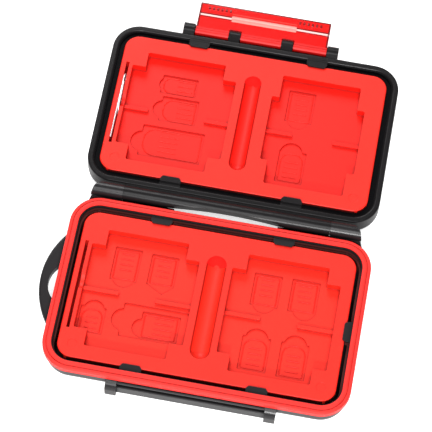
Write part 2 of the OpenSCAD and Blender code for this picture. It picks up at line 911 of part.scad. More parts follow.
module lid_shell() {
    step_reach = lid_wall_out - rim_width;
    color(black)
        translate([0, lid_middle, 0])
            difference() {
                union() {
                    round_the_tray()
                        lid_section();
                    middle_slab(0, floor_thickness);
                    seat_ribs();
                    long_side_clips(step_reach + weld, step_reach - 1.1, tray_top);
                    lid_knuckle();
                    both_sides() {
                        latch_ear(ear_inner, ear_inner + ear_thickness, ear_radius);
                        latch_ear(mid_ear_inner, mid_ear_inner + mid_ear_thickness, mid_ear_radius);
                    }
                }
                both_sides()
                    translate([mid_ear_inner - 1, latch_y, latch_z])
                        rotate([0, 90, 0])
                            cylinder(
                                r = latch_pin_radius + press_margin,
                                h = ear_inner + ear_thickness - pin_end_wall - mid_ear_inner + 1
                            );
            }
}

// Pins and the latch flap.

module hinge_pin() {
    translate([pin_inner_end, hinge_reach, parting_height])
        rotate([0, 90, 0])
            cylinder(r = hinge_pin_radius, h = pin_outer_end - pin_inner_end);
}

module hinge_pin_left() {
    color(steel)
        mirror([1, 0, 0])
            hinge_pin();
}

module hinge_pin_right() {
    color(steel)
        hinge_pin();
}

module latch_pin() {
    half = ear_inner + ear_thickness - pin_end_wall;
    color(steel)
        translate([-half, lid_middle + latch_y, latch_z])
            rotate([0, 90, 0])
                cylinder(r = latch_pin_radius, h = 2 * half);
}

// Flap in its own frame, pin on the X axis, lying along +Y.
module flap_shape() {
    top = flap_offset;
    slot_radius = mid_ear_radius + ear_gap;
    difference() {
        union() {
            along_x(-flap_half, flap_half) {
                circle(r = flap_barrel);
                translate([0, top - flap_thickness])
                    square([flap_reach - flap_thickness / 2, flap_thickness]);
                translate([flap_reach - flap_thickness / 2, top - flap_thickness / 2])
                    circle(r = flap_thickness / 2);
            }
            translate([-flap_half, hook_distance, top - 0.2])
                cube([2 * flap_half, ridge_width, ridge_height + 0.2]);
            along_x(-hook_half, hook_half)
                polygon([
                    [hook_distance, top - 0.2],
                    [hook_distance, top + hook_height],
                    [hook_distance + 0.8, top + hook_height],
                    [hook_distance + hook_thickness, top + 0.3],
                    [hook_distance + hook_thickness, top - 0.2]
                ]);
        }
        both_sides()
            translate([flap_slot_inner, -flap_barrel - 1, -flap_barrel - 1])
                cube([
                    flap_slot_outer - flap_slot_inner,
                    flap_barrel + 1 + slot_radius,
                    2 * flap_barrel + 2
                ]);
        translate([-flap_half - 1, 0, 0])
            rotate([0, 90, 0])
                cylinder(r = latch_pin_radius + running_clearance, h = 2 * flap_half + 2);
    }
}

module latch_flap() {
    color(clear_red)
        translate([0, lid_middle + latch_y, latch_z])
            flap_shape();
}

// The eject pin.

module eject_pin() {
    wire = wire_diameter / 2;
    bend = wire_loop_height / 2 - wire;
    middle_z = tray_top + wire_rise - wire - bend;
    far_y = wire_loop_end - wire - bend;
    near_y = wire_loop_end - wire_loop_length + wire + bend;
    tip_y = wire_loop_end - wire_length;
    color(steel)
        translate([slot_x, lid_middle, middle_z]) {
            for (z = [-bend, bend])
                translate([0, near_y, z])
                    rotate([-90, 0, 0])
                        cylinder(r = wire, h = far_y - near_y);
            translate([0, far_y, 0])
                rotate([90, 0, 90])
                    rotate([0, 0, -90])
                        rotate_extrude(angle = 180)
                            translate([bend, 0])
                                circle(r = wire);
            translate([0, near_y, 0])
                rotate([90, 0, 90])
                    rotate([0, 0, 90])
                        rotate_extrude(angle = 180)
                            translate([bend, 0])
                                circle(r = wire);
            translate([0, tip_y + wire, bend])
                rotate([-90, 0, 0])
                    cylinder(r = wire, h = near_y - tip_y - wire);
            translate([0, tip_y + wire, bend])
                sphere(r = wire);
        }
}

base_shell();
base_seal();
base_tray();
hinge_pin_left();
hinge_pin_right();
lid_shell();
lid_tray();
latch_pin();
latch_flap();
eject_pin();
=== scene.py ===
"""Looks of an open hard case for memory cards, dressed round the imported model."""

import logging
import math
from collections.abc import Sequence
from dataclasses import dataclass, field, replace
from enum import Enum

import bmesh
import bpy
from mathutils import Matrix, Vector


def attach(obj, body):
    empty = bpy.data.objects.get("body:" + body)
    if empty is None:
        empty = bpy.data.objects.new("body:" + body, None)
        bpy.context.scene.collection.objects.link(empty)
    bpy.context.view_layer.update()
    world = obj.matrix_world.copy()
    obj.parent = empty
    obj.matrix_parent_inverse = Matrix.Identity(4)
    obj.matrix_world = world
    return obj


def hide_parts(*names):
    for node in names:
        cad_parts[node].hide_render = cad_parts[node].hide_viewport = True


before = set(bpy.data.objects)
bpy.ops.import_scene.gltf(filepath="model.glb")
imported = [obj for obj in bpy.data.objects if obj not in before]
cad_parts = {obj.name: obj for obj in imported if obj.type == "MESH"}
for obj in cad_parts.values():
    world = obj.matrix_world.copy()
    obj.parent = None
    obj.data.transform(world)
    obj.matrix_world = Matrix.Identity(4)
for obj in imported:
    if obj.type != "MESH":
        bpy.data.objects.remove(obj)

LOG = logging.getLogger("memory_card_case")
MM = 0.001
EDGE_GAIN = 5.0
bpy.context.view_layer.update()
Colour = tuple[float, float, float, float]


class Body(str, Enum):
    """Rigid bodies of the case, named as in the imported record."""

    BASE = "base"
    LID = "lid"
    LATCH = "latch"
    EJECT_PIN = "eject_pin"


class Slot(str, Enum):
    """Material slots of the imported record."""

    SHELL = "black_shell"
    TRAY = "red_tray"
    SEAL = "red_seal"
    CLEAR = "clear_red"
    WIRE = "steel_wire"


class NodeDesk:
    """Adds nodes to one tree and fills their sockets."""

    def __init__(self, tree: bpy.types.NodeTree) -> None:
        """Keeps the tree.

        Args:
            tree: the node tree that gets the nodes.
        """
        self.tree = tree

    def node(
        self,
        kind: str,
        settings: dict[str, object] | None = None,
        inputs: dict[object, object] | None = None,
    ) -> bpy.types.Node:
        """Adds a node, sets it, then fills or links its inputs.

        Args:
            kind: the node's type name.
            settings: attributes that are set before the inputs.
            inputs: numbers, colours, sockets or Values by input name or index.

        Returns:
            The new node.
        """
        made = self.tree.nodes.new(kind)
        for key, value in (settings or {}).items():
            setattr(made, key, value)
        for key, value in (inputs or {}).items():
            self.feed(made.inputs[key], value)
        return made

    def feed(self, target: bpy.types.NodeSocket, value: object) -> None:
        """Gives an input socket a value or a link.

        Args:
            target: the input socket.
            value: a number, colour, socket or Value.
        """
        if isinstance(value, Value):
            value = value.socket
        if isinstance(value, bpy.types.NodeSocket):
            self.tree.links.new(value, target)
        else:
            target.default_value = value


class Value:
    """A number in a node tree that takes part in Python arithmetic."""

    def __init__(self, desk: NodeDesk, socket: bpy.types.NodeSocket) -> None:
        """Keeps the socket and the desk whose tree it belongs to.

        Args:
            desk: the desk that adds the arithmetic nodes.
            socket: the output socket that holds the number.
        """
        self.desk = desk
        self.socket = socket

    def _with(self, operation: str, first: object, second: object, clamp: bool = False) -> "Value":
        """Adds one Math node.

        Args:
            operation: the Math node's operation.
            first: left operand, a Value or a number.
            second: right operand, a Value or a number.
            clamp: keeps the result between 0 and 1.

        Returns:
            The result as a Value.
        """
        settings = {"operation": operation, "use_clamp": clamp}
        node = self.desk.node("ShaderNodeMath", settings, {0: first, 1: second})
        return Value(self.desk, node.outputs[0])

    def __add__(self, other: object) -> "Value":
        """Sum."""
        return self._with("ADD", self, other)

    def __radd__(self, other: object) -> "Value":
        """Sum with the number on the left."""
        return self._with("ADD", other, self)

    def __sub__(self, other: object) -> "Value":
        """Difference."""
        return self._with("SUBTRACT", self, other)

    def __rsub__(self, other: object) -> "Value":
        """Difference with the number on the left."""
        return self._with("SUBTRACT", other, self)

    def __mul__(self, other: object) -> "Value":
        """Product."""
        return self._with("MULTIPLY", self, other)

    def __rmul__(self, other: object) -> "Value":
        """Product with the number on the left."""
        return self._with("MULTIPLY", other, self)

    def __gt__(self, other: object) -> "Value":
        """1 where this is greater, else 0."""
        return self._with("GREATER_THAN", self, other)

    def __lt__(self, other: object) -> "Value":
        """1 where this is less, else 0."""
        return self._with("LESS_THAN", self, other)

    def size(self) -> "Value":
        """The same number without its sign."""
        return self._with("ABSOLUTE", self, 0.0)

    def above(self, floor: float) -> "Value":
        """The same number, but never under a floor."""
        return self._with("MAXIMUM", self, floor)

    def clamped(self) -> "Value":
        """The same number kept between 0 and 1."""
        return self._with("ADD", self, 0.0, clamp=True)


class Finish(NodeDesk):
    """One material's node tree around its Principled shader."""

    def __init__(self, name: str) -> None:
        """Makes a material with a Principled shader.

        Args:
            name: the material's name.
        """
        self.material = bpy.data.materials.new(name)
        self.material.use_nodes = True
        super().__init__(self.material.node_tree)
        self.shader = self.tree.nodes["Principled BSDF"]
        self.place = self.node("ShaderNodeTexCoord").outputs["Object"]

    def axes(self) -> list[Value]:
        """X, Y and Z in the piece's own space, in metres."""
        split = self.node("ShaderNodeSeparateXYZ", None, {0: self.place})
        return [Value(self, socket) for socket in split.outputs]

    def noise(
        self,
        size: float,
        detail: float = 2.0,
        stretch: Sequence[float] = (1, 1, 1),
    ) -> Value:
        """Noise from 0 to 1 in the piece's own space.

        Args:
            size: typical width of one blotch, in metres.
            detail: octaves of finer noise.
            stretch: how much longer the blotches are along X, Y and Z.

        Returns:
            The noise as a Value.
        """
        scaled = self.node(
            "ShaderNodeMapping",
            None,
            {"Vector": self.place, "Scale": tuple(1 / part for part in stretch)},
        )
        texture = self.node(
            "ShaderNodeTexNoise",
            None,
            {"Vector": scaled.outputs[0], "Scale": 1 / size, "Detail": detail},
        )
        return Value(self, texture.outputs["Fac"])

    def blend(self, factor: object, first: object, second: object) -> bpy.types.NodeSocket:
        """Mixes two colours.

        Args:
            factor: share of the second colour, 0 to 1.
            first: colour or socket.
            second: colour or socket.

        Returns:
            The mixed colour's socket.
        """
        mixed = self.node(
            "ShaderNodeMix",
            {"data_type": "RGBA", "clamp_factor": True},
            {0: factor, 6: first, 7: second},
        )
        return mixed.outputs[2]

    def soft_normal(self, radius: float) -> bpy.types.NodeSocket:
        """Normal with every edge rounded off.

        Args:
            radius: radius of the rounding, in metres.

        Returns:
            The rounded normal's socket.
        """
        return self.node("ShaderNodeBevel", {"samples": 6}, {"Radius": radius}).outputs[0]

    def edges(self, rounded: bpy.types.NodeSocket) -> Value:
        """Mask of the edges, from how far the rounded normal turns.

        Args:
            rounded: a normal from soft_normal.

        Returns:
            0 on flats, rising towards 1 on edges.
        """
        flat = self.node("ShaderNodeNewGeometry").outputs["Normal"]
        dot = self.node("ShaderNodeVectorMath", {"operation": "DOT_PRODUCT"}, {0: rounded, 1: flat})
        return ((1.0 - Value(self, dot.outputs["Value"])) * EDGE_GAIN).clamped()

    def openness(self, reach: float) -> Value:
        """How open the surface is: 1 on flats and ridges, less in corners.

        Args:
            reach: how far a wall counts, in metres.

        Returns:
            The openness, 0 to 1.
        """
        seen = self.node("ShaderNodeAmbientOcclusion", {"samples": 6}, {"Distance": reach})
        return Value(self, seen.outputs["AO"])

    def bump(self, height: Value, depth: float, normal: bpy.types.NodeSocket | None = None) -> None:
        """Feeds the shader's normal from a height.

        Args:
            height: the height, 0 to 1.
            depth: how high 1 stands, in metres.
            normal: the normal that the bump starts from.
        """
        inputs: dict[object, object] = {"Height": height, "Distance": depth}
        if normal is not None:
            inputs["Normal"] = normal
        bumped = self.node("ShaderNodeBump", None, inputs).outputs[0]
        self.feed(self.shader.inputs["Normal"], bumped)

    def set(self, **values: object) -> None:
        """Fills the Principled shader's inputs.

        Args:
            **values: input names with underscores for spaces, and what they get.
        """
        for key, value in values.items():
            self.feed(self.shader.inputs[key.replace("_", " ")], value)


@dataclass(frozen=True)
class PaintedLightZone:
    """Box with cut corners whose inside or outside takes a painted tone standing in for light, in
    millimetres: painted shade where the tone is darker, painted red reflected light where it is
    lighter.
    """

    half_x: float
    half_y: float
    corner_cut: float
    middle_y: float
    low: float
    high: float
    outside: bool
    colour: Colour

    def mask(self, finish: Finish) -> Value:
        """Marks the zone on a finish.

        Args:
            finish: the finish that gets the tone.

        Returns:
            1 in the zone, else 0.
        """
        x, y, z = finish.axes()
        across, along = x.size(), (y - self.middle_y * MM).size()
        cut = (self.half_x + self.half_y - self.corner_cut) * MM
        inside = (across < self.half_x * MM) * (along < self.half_y * MM) * (across + along < cut)
        chosen = 1.0 - inside if self.outside else inside
        return chosen * (z > self.low * MM) * (z < self.high * MM)


@dataclass(frozen=True)
class GrooveShade:
    """Painted shade in a round-ended groove: a dark line just inside its rim and a dark far end, in
    millimetres.
    """

    middle_x: float
    near: float
    far: float
    width: float
    line: float = 0.45
    margin: float = 0.05
    share: float = 0.55
    colour: Colour = (0.16, 0.001, 0.001, 1)
    end_depth: float = 2.9
    end_share: float = 0.9
    end_dullness: float = 0.45
    end_colour: Colour = (0.74, 0.0035, 0.0018, 1)

    def end_mask(self, finish: Finish) -> Value:
        """Marks the shaded far end of the groove on a finish.

        Args:
            finish: the finish that gets the tone.

        Returns:
            The shade's share on it, else 0.
        """
        x, y, _ = finish.axes()
        radius = self.width / 2
        across = (x - self.middle_x * MM) * (1 / MM)
        along = (y - (self.far - radius) * MM) * (1 / MM)
        reach = across * across + along * along
        ring = (reach > (radius - self.end_depth) ** 2) * (reach < (radius + self.margin) ** 2)
        return ring * (along > 0.0) * self.end_share

    def mask(self, finish: Finish) -> Value:
        """Marks the line on a finish.

        Args:
            finish: the finish that gets the tone.

        Returns:
            The line's share on it, else 0.
        """
        x, y, _ = finish.axes()
        across = (x - self.middle_x * MM) * (1 / MM)
        radius = self.width / 2
        straight = (self.far - self.near) / 2 - radius
        middle = (self.far + self.near) / 2
        beyond = ((y - middle * MM).size() * (1 / MM) - straight).above(0.0)
        reach = across * across + beyond * beyond
        ring = (reach > (radius - self.line) ** 2) * (reach < (radius + self.margin) ** 2)
        return ring * self.share


@dataclass(frozen=True)
class MouldedPlastic:
    """Moulded plastic: cloudy tone, fine grain, painted highlights on edges, painted shade in
    corners and recesses.
    """

    name: str
    colour: Colour
    cloud_colour: Colour
    edge_shading_colour: Colour
    corner_shade_colour: Colour
    roughness: float
    roughness_spread: float = 0.08
    specular: float = 0.3
    cloud: float = 24 * MM
    grain: float = 0.25 * MM
    grain_depth: float = 0.006 * MM
    edge: float = 0.25 * MM
    edge_shading_share: float = 0.5
    corner_reach: float = 0.9 * MM
    corner_shade_share: float = 0.5
    glow: float = 0.0
    glow_reach: float = 1.0 * MM
    deep_shade_colour: Colour | None = None
    painted_light_zone: PaintedLightZone | None = None
    groove: GrooveShade | None = None
    coat: float = 0.0
    coat_roughness: float = 0.25
    deep_below: float = 10.9 * MM
    recess_shade_colour: Colour | None = None
    recess_below: float = 7.45 * MM
    recess_edge: float = 0.35 * MM
    recess_shade_share: float = 0.7

    def make(self) -> bpy.types.Material:
        """Builds the material.

        Returns:
            The finished material.
        """
        finish = Finish(self.name)
        rounded = finish.soft_normal(self.edge)
        open_share = finish.openness(self.corner_reach)
        # Painted highlight: open edges are lifted towards the lighter edge colour.
        edge_highlight = finish.edges(rounded) * open_share * self.edge_shading_share
        # Painted shade: corners and creases darken towards the corner colour, by ambient occlusion.
        painted_corner_shade = (1.0 - open_share) * self.corner_shade_share
        tone = finish.blend(finish.noise(self.cloud, 3), self.colour, self.cloud_colour)
        # Painted shade and red reflected light: below the tray top the tone turns to the deep
        # colour.
        if self.deep_shade_colour:
            tone = finish.blend(finish.axes()[2] < self.deep_below, tone, self.deep_shade_colour)
        # Painted shade: a dark line inside the groove's rim and a dark far end.
        if self.groove:
            tone = finish.blend(self.groove.mask(finish), tone, self.groove.colour)
            tone = finish.blend(self.groove.end_mask(finish), tone, self.groove.end_colour)
        tone = finish.blend(painted_corner_shade, tone, self.corner_shade_colour)
        # Painted light in a box: shade where the zone's colour is darker, red light thrown back
        # from the trays where it is lighter.
        if self.painted_light_zone:
            tone = finish.blend(self.painted_light_zone.mask(finish), tone, self.painted_light_zone.colour)
        # Painted shade along the outlines of the low recesses, with no painted edge highlight
        # there.
        if self.recess_shade_colour:
            low = finish.axes()[2] < self.recess_below
            outline = finish.edges(finish.soft_normal(self.recess_edge)) * low
            tone = finish.blend(outline * self.recess_shade_share, tone, self.recess_shade_colour)
            edge_highlight = edge_highlight * (1.0 - low)
        smear = finish.noise(7 * MM, 2, (1, 3, 1))
        roughness = self.roughness + (smear - 0.5) * self.roughness_spread
        if self.groove:
            roughness = roughness + self.groove.end_mask(finish) * self.groove.end_dullness
        finish.set(
            Base_Color=finish.blend(edge_highlight, tone, self.edge_shading_colour),
            Roughness=roughness,
            Specular_IOR_Level=self.specular,
        )
        # The coat thins in corners and in the zone, so no sheen lies on the painted shade.
        if self.coat > 0:
            weight = open_share * self.coat
            if self.painted_light_zone:
                weight = weight * (1.0 - self.painted_light_zone.mask(finish))
            finish.set(Coat_Weight=weight, Coat_Roughness=self.coat_roughness)
        if self.glow > 0:
            finish.set(
                Subsurface_Weight=self.glow,
                Subsurface_Radius=(1.0, 0.12, 0.08),
                Subsurface_Scale=self.glow_reach,
            )
        finish.bump(finish.noise(self.grain, 1), self.grain_depth, rounded)
        return finish.material


@dataclass(frozen=True)
class PaintedLightBand:
    """Painted light stripe on both halves of the flap, a highlight where pale and shade where dark,
    sizes in millimetres from its middle.
    """

    x_from: float
    x_to: float
    y_from: float
    y_to: float
    colour: Colour
    share: float


@dataclass(frozen=True)
class ClearPlastic:
    """Polished tinted plastic with painted highlight and shade stripes, painted shade on its edges
    and a duller barrel.
    """

    name: str
    colour: Colour
    thick_colour: Colour
    edge_shading_colour: Colour
    barrel_below: float
    light_bands_above: float = 9.2 * MM
    light_bands: Sequence[PaintedLightBand] = ()
    edge: float = 0.2 * MM
    edge_band: float = 0.8 * MM
    edge_shading_share: float = 0.85
    roughness: float = 0.12
    barrel_roughness: float = 0.3
    specular: float = 0.25
    clearness: float = 0.1

    def make(self) -> bpy.types.Material:
        """Builds the material.

        Returns:
            The finished material.
        """
        finish = Finish(self.name)
        across, along, height = finish.axes()
        flow = finish.noise(9 * MM, 2, (3, 1, 1))
        tone = finish.blend(flow, self.colour, self.thick_colour)
        barrel = along < self.barrel_below
        # Painted shade: edges away from the barrel darken towards the edge colour.
        dark_edge_shade = finish.edges(finish.soft_normal(self.edge_band)) * (1.0 - barrel) * self.edge_shading_share
        tone = finish.blend(dark_edge_shade, tone, self.edge_shading_colour)
        # Painted highlights and shade as stripes, on the top side only.
        for band in self.light_bands:
            wide = (across.size() > band.x_from * MM) * (across.size() < band.x_to * MM)
            deep = (along > band.y_from * MM) * (along < band.y_to * MM)
            top = height > self.light_bands_above
            tone = finish.blend(wide * deep * top * band.share, tone, band.colour)
        finish.set(
            Base_Color=tone,
            Roughness=self.roughness + flow * 0.05 + barrel * self.barrel_roughness,
            Specular_IOR_Level=self.specular,
            Transmission_Weight=self.clearness,
            IOR=1.49,
        )
        finish.bump(flow, 0.008 * MM, finish.soft_normal(self.edge))
        return finish.material


@dataclass(frozen=True)
class DrawnSteel:
    """Drawn steel with fine lines along the wire."""

    name: str
    colour: Colour = (0.66, 0.66, 0.67, 1)
    dull_colour: Colour = (0.52, 0.52, 0.53, 1)
    roughness: float = 0.2
    lines: Sequence[float] = (1, 60, 1)

    def make(self) -> bpy.types.Material:
        """Builds the material.

        Returns:
            The finished material.
        """
        finish = Finish(self.name)
        streak = finish.noise(0.12 * MM, 2, self.lines)
        finish.set(
            Base_Color=finish.blend(finish.noise(3 * MM, 3), self.colour, self.dull_colour),
            Metallic=1.0,
            Roughness=self.roughness + streak * 0.14,
        )
        finish.bump(streak, 0.0008 * MM)
        return finish.material


class Former(NodeDesk):
    """A Geometry Nodes tree that turns a guide mesh into one plain piece."""

    def __init__(self, name: str, sizes: dict[str, float]) -> None:
        """Makes the tree with its named size inputs.

        Args:
            name: the tree's name.
            sizes: input names with their values, in metres.
        """
        super().__init__(bpy.data.node_groups.new(name, "GeometryNodeTree"))
        self.sizes = sizes
        face = self.tree.interface
        face.new_socket("Guide", in_out="INPUT", socket_type="NodeSocketGeometry")
        self.keys = {
            size: face.new_socket(size, in_out="INPUT", socket_type="NodeSocketFloat").identifier
            for size in sizes
        }
        face.new_socket("Piece", in_out="OUTPUT", socket_type="NodeSocketGeometry")
        self.inlet = self.node("NodeGroupInput")
        self.guide = self.inlet.outputs["Guide"]

    def size(self, name: str) -> bpy.types.NodeSocket:
        """Socket of a named size."""
        return self.inlet.outputs[name]

    def deliver(self, shape: bpy.types.NodeSocket, material: bpy.types.Material) -> None:
        """Ends the tree with real geometry and its finish.

        Args:
            shape: the geometry socket.
            material: the finish.
        """
        real = self.node("GeometryNodeRealizeInstances", None, {0: shape}).outputs[0]
        inputs = {"Geometry": real, "Material": material}
        painted = self.node("GeometryNodeSetMaterial", None, inputs).outputs[0]
        self.node("NodeGroupOutput", None, {"Piece": painted})

    def form(self, name: str, guide: bpy.types.Mesh) -> bpy.types.Object:
        """Runs the tree on a guide and keeps the result as a plain mesh.

        Args:
            name: the piece's name.
            guide: the mesh that the tree reads.

        Returns:
            The new piece.
        """
        piece = bpy.data.objects.new(name, guide)
        bpy.context.scene.collection.objects.link(piece)
        maker = piece.modifiers.new(name, "NODES")
        maker.node_group = self.tree
        for size, value in self.sizes.items():
            maker[self.keys[size]] = value
        bpy.context.view_layer.update()
        made = piece.evaluated_get(bpy.context.evaluated_depsgraph_get())
        mesh = bpy.data.meshes.new_from_object(made)
        mesh.name = name
        piece.modifiers.clear()
        piece.data = mesh
        return piece


def guide_lines(name: str, lines: Sequence[Sequence[Vector]], closed: bool) -> bpy.types.Mesh:
    """Mesh of edges alone, one chain for each line.

    Args:
        name: the mesh's name.
        lines: the points of each line, in metres.
        closed: whether each line runs back to its start.

    Returns:
        The mesh.
    """
    points: list[Vector] = []
    links: list[tuple[int, int]] = []
    for line in lines:
        first = len(points)
        points.extend(line)
        links.extend((first + n, first + n + 1) for n in range(len(line) - 1))
        if closed:
            links.append((len(points) - 1, first))
    mesh = bpy.data.meshes.new(name)
    mesh.from_pydata([tuple(point) for point in points], links, [])
    return mesh


def fillet(
    before: Sequence[float],
    corner: Sequence[float],
    after: Sequence[float],
    radius: float,
    steps: int,
) -> list[tuple[float, float]]:
    """Rounds one right-angled corner of a profile.

    Args:
        before: the corner before this one.
        corner: the corner to round.
        after: the corner after this one.
        radius: radius of the rounding, cut down where a side is short.
        steps: number of chords.

    Returns:
        The points that take the corner's place.
    """
    here = Vector(corner)
    back = Vector(before) - here
    ahead = Vector(after) - here
    reach = min(radius, back.length * 0.45, ahead.length * 0.45)
    back = back.normalized() * reach
    ahead = ahead.normalized() * reach
    centre = here + back + ahead
    points = []
    for step in range(steps + 1):
        angle = math.radians(90 * step / steps)
        point = centre - ahead * math.cos(angle) - back * math.sin(angle)
        points.append((point.x, point.y))
    return points


def smooth(piece: bpy.types.Object, limit: float) -> None:
    """Shades a piece smooth but for its sharp edges.

    Args:
        piece: the finished piece.
        limit: edges that turn by more degrees than this stay sharp.
    """
    piece.data.shade_smooth()
    piece.data.set_sharp_from_angle(angle=math.radians(limit))


def outward(piece: bpy.types.Object) -> None:
    """Merges a piece's doubles and turns its faces outwards.

    Args:
        piece: a closed piece.
    """
    edit = bmesh.new()
    edit.from_mesh(piece.data)
    bmesh.ops.remove_doubles(edit, verts=edit.verts, dist=0.0005 * MM)
    bmesh.ops.recalc_face_normals(edit, faces=edit.faces)
    edit.to_mesh(piece.data)
    edit.free()


def ridges(
    name: str,
    lines: Sequence[Sequence[Vector]],
    width: float,
    height: float,
    finish: bpy.types.Material,
) -> bpy.types.Object:
    """Sweeps an oval along open lines, half of it sunk in what carries it.

    Args:
        name: the piece's name.
        lines: the points of each line, in metres.
        width: the oval's width, in metres.
        height: the oval's whole height, in metres.
        finish: its material.

    Returns:
        The closed piece.
    """
    former = Former(name, {"Width": width, "Height": height})
    path = former.node("GeometryNodeMeshToCurve", None, {"Mesh": former.guide}).outputs[0]
    level = former.node("GeometryNodeSetCurveNormal", {"mode": "Z_UP"}, {"Curve": path}).outputs[0]
    ring = former.node(
        "GeometryNodeCurvePrimitiveCircle",
        {"mode": "RADIUS"},
        {"Resolution": 12, "Radius": 0.5},
    )
    sizes = {"X": former.size("Width"), "Y": former.size("Height"), "Z": 1.0}
    scale = former.node("ShaderNodeCombineXYZ", None, sizes).outputs[0]
    oval = former.node("GeometryNodeTransform", None, {"Geometry": ring.outputs[0], "Scale": scale})
    inputs = {"Curve": level, "Profile Curve": oval.outputs[0], "Fill Caps": True}
    former.deliver(former.node("GeometryNodeCurveToMesh", None, inputs).outputs[0], finish)
    piece = former.form(name, guide_lines(name, lines, closed=False))
    outward(piece)
    smooth(piece, 50)
    return piece


def swept(
    name: str,
    path: Sequence[Vector],
    section: Sequence[tuple[float, float]],
    closed: bool,
    finish: bpy.types.Material,
) -> bpy.types.Object:
    """Sweeps a closed section along one level path.

    Args:
        name: the piece's name.
        path: the path's points, in metres, with the section's outer side on their right.
        section: the section's points outwards and upwards, in metres.
        closed: whether the path runs back to its start.
        finish: its material.

    Returns:
        The closed piece.
    """
    count = len(path)
    guide = guide_lines(name, [path], closed)
    points = [tuple(vertex.co) for vertex in guide.vertices]
    links = [tuple(edge.vertices) for edge in guide.edges]
    points.extend((u, -z, 0.0) for u, z in section)
    links.extend((count + n, count + (n + 1) % len(section)) for n in range(len(section)))
    guide.clear_geometry()
    guide.from_pydata(points, links, [])
    mark = guide.attributes.new("is_section", "BOOLEAN", "POINT")
    mark.data.foreach_set("value", [n >= count for n in range(len(points))])
    former = Former(name, {"Share": 1.0})
    chosen = former.node(
        "GeometryNodeInputNamedAttribute",
        {"data_type": "BOOLEAN"},
        {"Name": "is_section"},
    )
    split = former.node(
        "GeometryNodeSeparateGeometry",
        {"domain": "POINT"},
        {"Geometry": former.guide, "Selection": chosen.outputs["Attribute"]},
    )
    outline, line = (
        former.node("GeometryNodeMeshToCurve", None, {"Mesh": part}).outputs[0]
        for part in split.outputs
    )
    level = former.node("GeometryNodeSetCurveNormal", {"mode": "Z_UP"}, {"Curve": line}).outputs[0]
    shares = {axis: former.size("Share") for axis in "XYZ"}
    scale = former.node("ShaderNodeCombineXYZ", None, shares).outputs[0]
    scaled = {"Geometry": outline, "Scale": scale}
    full = former.node("GeometryNodeTransform", None, scaled).outputs[0]
    inputs = {"Curve": level, "Profile Curve": full, "Fill Caps": not closed}
    former.deliver(former.node("GeometryNodeCurveToMesh", None, inputs).outputs[0], finish)
    piece = former.form(name, guide)
    outward(piece)
    smooth(piece, 32)
    return piece


def dress(piece: bpy.types.Object, body: Body) -> None:
    """Gives a finished piece its body.

    Args:
        piece: the finished piece.
        body: the body it rides on.
    """
    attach(piece, body.value)
    LOG.info("%s: %d faces on %s", piece.name, len(piece.data.polygons), body.value)


def paint_node(node: str, material: bpy.types.Material) -> None:
    """Gives a CAD node that stays in view its finish.

    Args:
        node: the CAD node.
        material: its finish.
    """
    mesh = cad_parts[node].data
    mesh.materials.clear()
    mesh.materials.append(material)
    LOG.info("%s keeps its CAD shape", node)


# The lighter edge colour is a painted highlight on open edges; the corner colour is painted shade
# in corners and the trench.
BLACK_SHELL = MouldedPlastic(
    name="black_case_plastic",
    colour=(0.0088, 0.0080, 0.0088, 1),
    cloud_colour=(0.0125, 0.0115, 0.0124, 1),
    edge_shading_colour=(0.060, 0.058, 0.060, 1),
    corner_shade_colour=(0.0015, 0.0014, 0.0015, 1),
    roughness=0.42,
    roughness_spread=0.12,
    specular=0.03,
    grain=0.34 * MM,
    grain_depth=0.045 * MM,
    edge_shading_share=0.4,
    corner_reach=2.2 * MM,
    corner_shade_share=1.2,
    coat=0.42,
    coat_roughness=0.28,
)
# The base's zone paints red light thrown back from the trays onto the trench, a painted reflection.
BASE_SHELL = replace(
    BLACK_SHELL,
    name="black_base_plastic",
    painted_light_zone=PaintedLightZone(58.4, 35.05, 3.4, 0.0, 4.0, 11.0, False, (0.070, 0.0175, 0.0155, 1)),
)
# A darker copy of the black plastic, painted shade on the lid; its zone paints deeper shade in the
# trench round the lid tray.
SHADED_LID_SHELL = replace(
    BLACK_SHELL,
    name="black_lid_plastic",
    colour=(0.0062, 0.0055, 0.0060, 1),
    cloud_colour=(0.0085, 0.0077, 0.0083, 1),
    edge_shading_colour=(0.040, 0.038, 0.040, 1),
    coat=0.24,
    painted_light_zone=PaintedLightZone(57.9, 34.55, 3.4, 83.6, 7.0, 10.7, False, (0.0022, 0.0020, 0.0024, 1)),
)
# The pink edge colour is a painted highlight; the corner and recess colours are painted shade; the
# deep colour is painted shade and red reflected light in the pockets.
RED_TRAY = MouldedPlastic(
    name="red_tray_plastic",
    colour=(0.74, 0.018, 0.0085, 1),
    cloud_colour=(0.70, 0.014, 0.006, 1),
    edge_shading_colour=(0.85, 0.050, 0.036, 1),
    corner_shade_colour=(0.20, 0.001, 0.001, 1),
    deep_shade_colour=(0.70, 0.0115, 0.0045, 1),
    roughness=0.5,
    specular=0.26,
    edge=0.2 * MM,
    edge_shading_share=0.55,
    corner_reach=1.5 * MM,
    corner_shade_share=0.95,
    glow=0.1,
    recess_shade_colour=(0.25, 0.002, 0.001, 1),
)
# The pink edge colour is a painted highlight; the corner colour is painted shade.
RED_SEAL = MouldedPlastic(
    name="red_seal_rubber",
    colour=(0.72, 0.020, 0.014, 1),
    cloud_colour=(0.68, 0.016, 0.011, 1),
    edge_shading_colour=(0.86, 0.062, 0.050, 1),
    corner_shade_colour=(0.20, 0.002, 0.001, 1),
    roughness=0.56,
    specular=0.3,
    grain=0.2 * MM,
    grain_depth=0.004 * MM,
    edge=0.12 * MM,
    edge_shading_share=0.35,
    corner_shade_share=0.8,
    glow=0.1,
)
